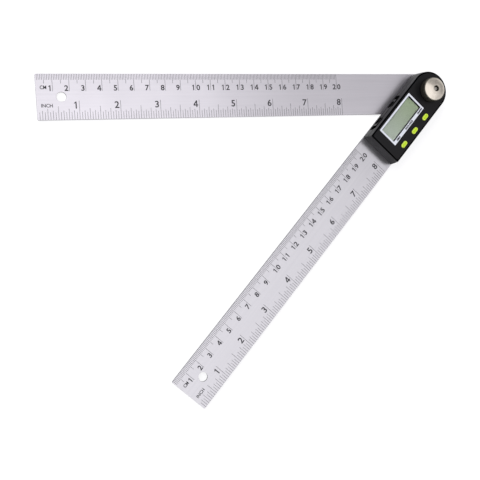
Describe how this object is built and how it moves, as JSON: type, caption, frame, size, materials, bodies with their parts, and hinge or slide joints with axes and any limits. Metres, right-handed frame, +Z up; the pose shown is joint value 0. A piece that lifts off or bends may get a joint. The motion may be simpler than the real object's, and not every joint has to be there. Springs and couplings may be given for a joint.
{
  "type": "digital angle finder",
  "caption": "Two graduated steel rules on one pivot, with a digital display head, push keys, a side battery drawer and a knurled lock knob.",
  "frame": {"origin": "on the pivot axis, at the underside of the lower rule, on which the tool lies", "axes": "+Z up along the pivot axis, through the display and the knob; -X along the lower rule to its square tip; +Y across it to its centimetre edge"},
  "size_m": [0.2803, 0.2145, 0.0212],
  "materials": {
    "steel": "brushed along the rule",
    "nickel": "turned and nickel plated",
    "brass": "turned",
    "shell": "fine moulded texture",
    "nylon": "natural nylon",
    "frame_print": "printed film",
    "lens": "clear",
    "display": "smooth glass over a grey-green polariser",
    "grey_rubber": "silicone",
    "board": "solder resist",
    "resin": "moulded resin",
    "key": "satin moulded"
  },
  "bodies": {
    "lower_arm": {"lower_rule": "steel", "pivot_hub": "nickel", "friction_washer": "nylon", "retaining_ring": "steel", "encoder_rotor": "board", "lock_stud": "steel"},
    "upper_arm": {"upper_rule": "steel", "pivot_bush": "brass", "wave_spring": "steel", "housing_base": "shell", "housing_cover": "shell", "window_frame": "frame_print", "window_lens": "lens", "lcd_glass": "display", "reflector_sheet": "nylon", "lcd_holder": "nylon", "zebra_strip": "grey_rubber", "circuit_board": "board", "controller_chip": "resin", "clock_crystal": "steel", "top_contact": "nickel", "side_contact": "nickel", "on_off_switch": "resin", "hold_switch": "resin", "zero_switch": "resin", "head_screw_1": "steel", "head_screw_2": "steel", "head_screw_3": "steel", "head_screw_4": "steel"},
    "on_off_button": {"on_off_key": "key"},
    "hold_button": {"hold_key": "key"},
    "zero_button": {"zero_key": "key"},
    "battery_tray": {"battery_drawer": "shell", "battery_cell": "nickel"},
    "lock_washer": {"knob_washer": "steel"},
    "lock": {"lock_knob": "nickel"}
  },
  "joints": [
    {"name": "arm_pivot", "type": "hinge", "parent": "lower_arm", "child": "upper_arm", "pos_m": [0, 0, 0.0015], "axis": [0, 0, 1], "continuous": true},
    {"name": "on_off_press", "type": "slide", "parent": "upper_arm", "child": "on_off_button", "axis": [0, 0, -1], "range_m": [0, 0.0004], "stiffness_N_per_m": 800},
    {"name": "hold_press", "type": "slide", "parent": "upper_arm", "child": "hold_button", "axis": [0, 0, -1], "range_m": [0, 0.0004], "stiffness_N_per_m": 800},
    {"name": "zero_press", "type": "slide", "parent": "upper_arm", "child": "zero_button", "axis": [0, 0, -1], "range_m": [0, 0.0004], "stiffness_N_per_m": 800},
    {"name": "drawer_slide", "type": "slide", "parent": "upper_arm", "child": "battery_tray", "axis": [-0.7169, 0.6972, 0], "range_m": [0, 0.022]},
    {"name": "knob_lift", "type": "slide", "parent": "lower_arm", "child": "lock_washer", "axis": [0, 0, 1], "range_m": [0, 0.0005]},
    {"name": "knob_turn", "type": "hinge", "parent": "lock_washer", "child": "lock", "pos_m": [0, 0, 0.0133], "axis": [0, 0, 1], "range_deg": [0, 360]}
  ],
  "couplings": [
    {"joint": "knob_lift", "follows": "knob_turn", "m_per_rad": 0.0000795}
  ]
}
